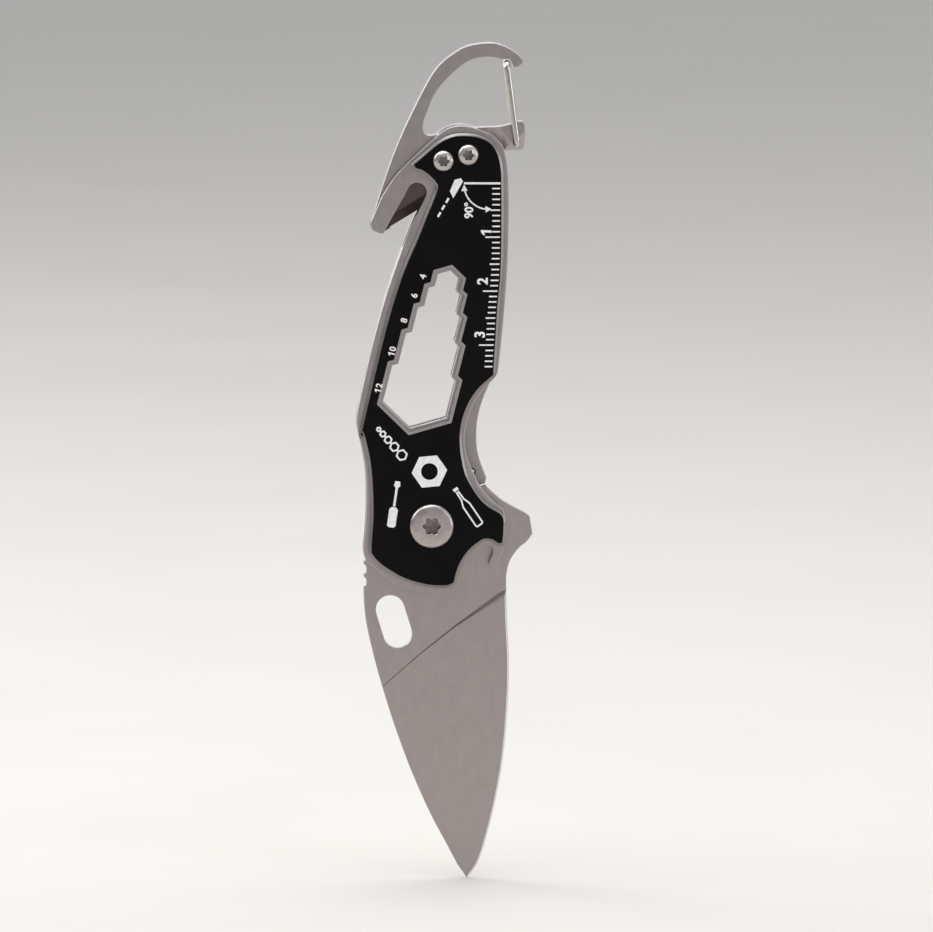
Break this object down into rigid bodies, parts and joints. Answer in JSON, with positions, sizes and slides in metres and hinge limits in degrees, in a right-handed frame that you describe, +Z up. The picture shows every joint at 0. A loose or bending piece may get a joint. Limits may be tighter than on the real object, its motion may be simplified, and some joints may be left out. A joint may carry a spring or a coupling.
{
  "type": "multi tool",
  "caption": "Folding pocket multi tool with a blade, a stepped wrench opening, a bottle opener, a line cutter and a gated carabiner.",
  "frame": {"origin": "inner top of the carabiner's hook, where the tool hangs, at the middle of its thickness", "axes": "+X towards the carabiner's gate and the driver tip, +Y out of the bare back, +Z up towards the carabiner, with the open blade pointing down"},
  "size_m": [0.0326, 0.0078, 0.1553],
  "materials": {
    "black_anodised": "matt black anodised aluminium",
    "satin_steel": "bead-blasted stainless steel",
    "blade_steel": "stonewashed satin stainless steel",
    "screw_steel": "bright stainless steel",
    "hard_steel": "polished hardened steel",
    "spring_steel": "polished spring wire",
    "bronze": "phosphor bronze"
  },
  "bodies": {
    "handle": {"faceplate": "black_anodised", "front_frame": "satin_steel", "carabiner_plate": "satin_steel", "rear_frame": "satin_steel", "pivot_post": "screw_steel", "pivot_screw": "screw_steel", "pivot_bush": "bronze", "pivot_washer_front": "bronze", "pivot_washer_rear": "bronze", "stop_pin": "hard_steel", "body_screw_left": "screw_steel", "body_screw_right": "screw_steel", "frame_nuts": "screw_steel"},
    "blade": {"blade": "blade_steel"},
    "gate": {"gate_wire": "spring_steel"},
    "lock_bar": {"lock_bar": "satin_steel", "detent_ball": "hard_steel"}
  },
  "joints": [
    {"name": "blade_pivot", "type": "hinge", "parent": "handle", "child": "blade", "pos_m": [-0.01007, 0, -0.0867], "axis": [0, -1, 0], "range_deg": [0, 170]},
    {"name": "gate_swing", "type": "hinge", "parent": "handle", "child": "gate", "pos_m": [0.00578, 0, -0.016], "axis": [0, -1, 0], "range_deg": [0, 28], "stiffness_Nm_per_rad": 0.02, "springref_deg": -9.74},
    {"name": "lock_bar_flex", "type": "hinge", "parent": "handle", "child": "lock_bar", "pos_m": [0.00093, 0.0028, -0.0487], "axis": [1, 0, 0], "range_deg": [0, 2.5], "stiffness_Nm_per_rad": 0.5, "springref_deg": -1.15}
  ]
}
